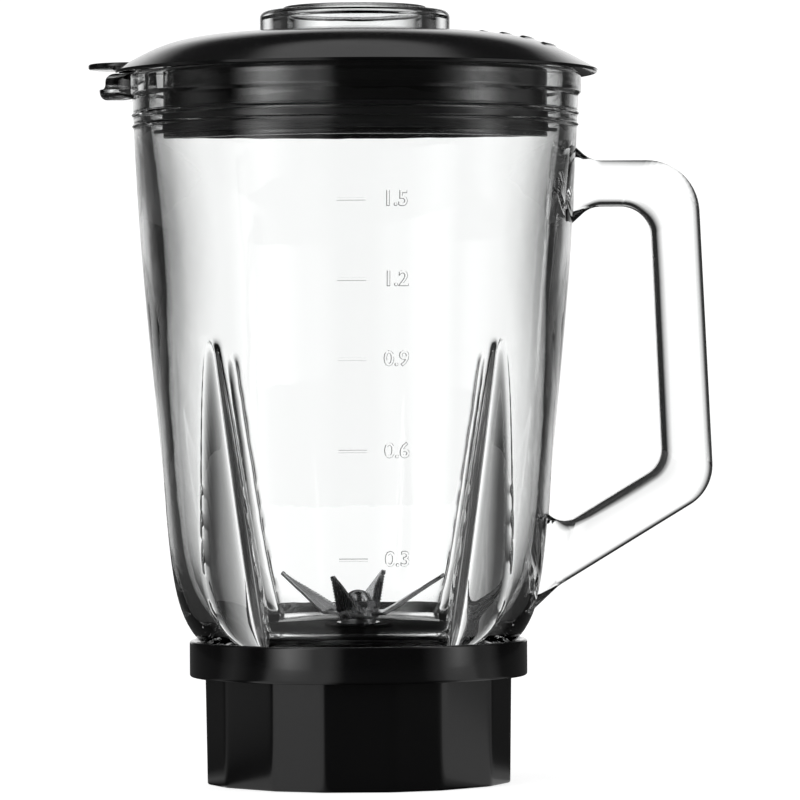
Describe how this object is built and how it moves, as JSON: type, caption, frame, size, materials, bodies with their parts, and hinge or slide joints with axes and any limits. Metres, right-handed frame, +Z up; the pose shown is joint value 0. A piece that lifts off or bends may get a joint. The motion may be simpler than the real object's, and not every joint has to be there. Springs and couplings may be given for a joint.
{
  "type": "countertop blender jug",
  "caption": "Glass blender jug with handle and spout, domed black lid with clear measuring cap, serrated steel knives and a screw-on black base collar.",
  "frame": {"origin": "on the jug's axis in the plane of the collar's foot, which is the mouth of the collar's drive socket", "axes": "+Z up along the jug's axis, +X from the axis to the handle, -X to the spout"},
  "size_m": [0.1987, 0.1552, 0.2477],
  "materials": {
    "black_gloss": "high gloss injection moulded black plastic",
    "black_matt": "fine matt moulded black plastic",
    "silicone": "smooth translucent grey silicone",
    "rubber_black": "smooth black rubber",
    "bronze": "sintered bronze, oiled",
    "steel": "turned stainless steel",
    "spring_steel": "blued spring steel",
    "blade_steel": "stamped and ground stainless steel",
    "coupling_black": "glass filled black nylon",
    "clear_glass": "clear pressed soda-lime glass, polished",
    "clear_plastic": "clear moulded styrene plastic"
  },
  "bodies": {
    "collar": {"base_collar": "black_gloss", "blade_carrier": "black_matt", "upper_bush": "bronze", "lower_bush": "bronze", "shaft_seal": "rubber_black"},
    "gasket": {"jug_gasket": "silicone"},
    "jug": {"glass_jug": "clear_glass", "glass_handle": "clear_glass"},
    "lid": {"lid": "black_gloss", "lid_seal": "rubber_black"},
    "cap": {"measuring_cap": "clear_plastic"},
    "knives": {"spindle": "steel", "lower_thrust_washer": "steel", "upper_thrust_washer": "steel", "retaining_ring": "spring_steel", "blade_seat": "steel", "lower_blade": "blade_steel", "middle_blade": "blade_steel", "upper_blade": "blade_steel", "blade_washer": "steel", "blade_nut": "steel", "drive_coupling": "coupling_black", "coupling_washer": "steel", "coupling_nut": "steel"}
  },
  "joints": [
    {"name": "knife_spin", "type": "hinge", "parent": "collar", "child": "knives", "pos_m": [0, 0, 0.03], "axis": [0, 0, 1], "continuous": true},
    {"name": "jug_turn", "type": "hinge", "parent": "collar", "child": "gasket", "pos_m": [0, 0, 0.0231], "axis": [0, 0, 1], "range_deg": [0, 60]},
    {"name": "jug_rise", "type": "slide", "parent": "gasket", "child": "jug", "axis": [0, 0, 1], "range_m": [0, 0.002]},
    {"name": "lid_lift", "type": "slide", "parent": "jug", "child": "lid", "axis": [0, 0, 1], "range_m": [0, 0.05]},
    {"name": "cap_lift", "type": "slide", "parent": "lid", "child": "cap", "axis": [0, 0, 1], "range_m": [0, 0.04]}
  ],
  "couplings": [
    {"joint": "jug_rise", "follows": "jug_turn", "m_per_rad": 0.0019099}
  ]
}
